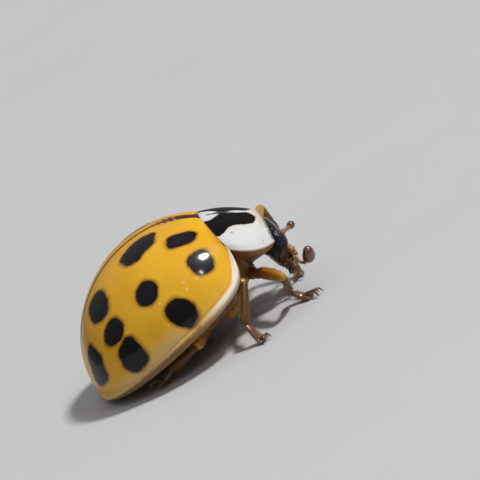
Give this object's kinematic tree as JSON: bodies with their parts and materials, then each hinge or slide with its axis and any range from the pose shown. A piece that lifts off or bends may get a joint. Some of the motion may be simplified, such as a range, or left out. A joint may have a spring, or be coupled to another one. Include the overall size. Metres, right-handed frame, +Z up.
{
  "type": "ladybird beetle model",
  "caption": "Life-size ladybird standing on six feet, head end raised: domed spotted wing cases, pronotum, head with feelers and palps, legs and underside.",
  "frame": {"origin": "middle of the beetle's footprint, on the floor it stands on", "axes": "+Z up; the head faces -Y and the wing tips +Y; the beetle's own left side is +X"},
  "size_m": [0.0072, 0.0076, 0.0039],
  "materials": {
    "wing_case": "glossy orange shell with black spots",
    "pronotum": "glossy ivory shield with two black bands",
    "black_cuticle": "glossy black",
    "eye": "glossy black with fine facets",
    "amber_limb": "satin amber brown",
    "underside": "satin dark brown"
  },
  "bodies": {
    "root": {"elytron_left": "wing_case", "elytron_right": "wing_case", "scutellum": "black_cuticle", "pronotum": "pronotum", "prothorax": "underside", "thorax": "underside", "abdomen": "underside", "head": "black_cuticle", "eye_left": "eye", "eye_right": "eye", "upper_lip": "amber_limb", "jaws": "amber_limb", "palp_left": "amber_limb", "palp_right": "amber_limb", "antenna_left": "amber_limb", "antenna_right": "amber_limb", "coxa_front_right": "amber_limb", "femur_front_right": "amber_limb", "tibia_front_right": "amber_limb", "tarsus_front_right": "amber_limb", "coxa_front_left": "amber_limb", "femur_front_left": "amber_limb", "tibia_front_left": "amber_limb", "tarsus_front_left": "amber_limb", "coxa_middle_right": "amber_limb", "femur_middle_right": "amber_limb", "tibia_middle_right": "amber_limb", "tarsus_middle_right": "amber_limb", "coxa_middle_left": "amber_limb", "femur_middle_left": "amber_limb", "tibia_middle_left": "amber_limb", "tarsus_middle_left": "amber_limb", "coxa_hind_right": "amber_limb", "femur_hind_right": "amber_limb", "tibia_hind_right": "amber_limb", "tarsus_hind_right": "amber_limb", "coxa_hind_left": "amber_limb", "femur_hind_left": "amber_limb", "tibia_hind_left": "amber_limb", "tarsus_hind_left": "amber_limb"}
  },
  "joints": []
}
